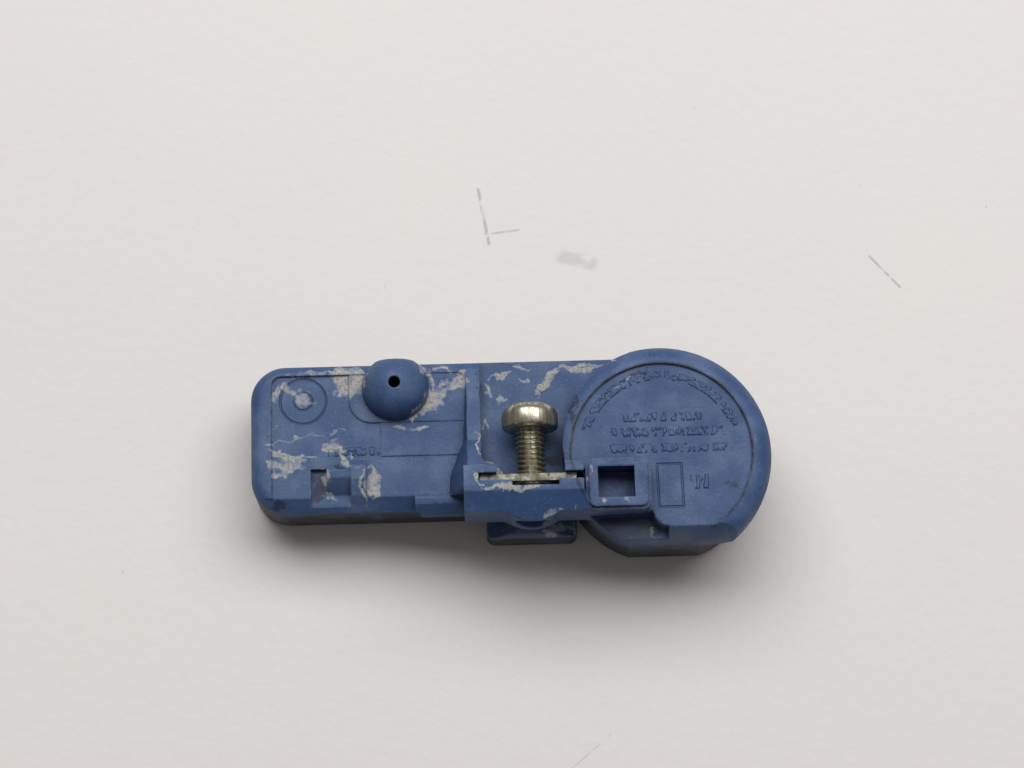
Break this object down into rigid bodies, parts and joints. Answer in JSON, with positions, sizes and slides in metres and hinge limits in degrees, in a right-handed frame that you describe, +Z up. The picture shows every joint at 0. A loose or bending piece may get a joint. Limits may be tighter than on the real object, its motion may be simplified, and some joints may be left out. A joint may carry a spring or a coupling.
{
  "type": "tyre pressure sensor",
  "caption": "Moulded tyre pressure sensor with a flat box end, a round cell end, a dome with the pressure port and a screw in a bracket for a snap-in valve.",
  "frame": {"origin": "middle of the footprint, at the face that rests on the table", "axes": "+X towards the round cell end, +Y away from the valve, +Z up from the base cover"},
  "size_m": [0.0518, 0.0196, 0.0143],
  "materials": {
    "blue_plastic": "satin moulded surface, worn and stained",
    "cover_plastic": "matt moulded surface",
    "plate_steel": "dull rolled steel with white corrosion",
    "screw_steel": "turned and rolled steel",
    "board_laminate": "solder mask",
    "cell_steel": "drawn steel can",
    "contact_strip": "tinned strip",
    "chip_resin": "moulded resin",
    "seal_rubber": "moulded rubber",
    "crystal_can": "drawn can",
    "ferrite": "sintered",
    "coil_wire": "enamelled copper wire",
    "antenna_wire": "drawn copper wire",
    "capacitor_body": "sintered",
    "resistor_body": "printed and glazed",
    "inductor_body": "sintered"
  },
  "bodies": {
    "sensor": {"housing": "blue_plastic", "base_cover": "cover_plastic", "retaining_plate": "plate_steel", "circuit_board": "board_laminate", "coin_cell": "cell_steel", "tab_positive": "contact_strip", "tab_negative": "contact_strip", "pressure_chip": "chip_resin", "port_seal": "seal_rubber", "radio_chip": "chip_resin", "crystal": "crystal_can", "coil_core": "ferrite", "coil_winding": "coil_wire", "antenna": "antenna_wire", "capacitor_1": "capacitor_body", "capacitor_2": "capacitor_body", "capacitor_3": "capacitor_body", "capacitor_4": "capacitor_body", "capacitor_5": "capacitor_body", "resistor_1": "resistor_body", "resistor_2": "resistor_body", "resistor_3": "resistor_body", "resistor_4": "resistor_body", "inductor_1": "inductor_body", "inductor_2": "inductor_body"},
    "screw": {"screw": "screw_steel"}
  },
  "joints": [
    {"name": "screw_drive", "type": "slide", "parent": "sensor", "child": "screw", "axis": [0, -1, 0], "range_m": [0, 0.0048]}
  ]
}
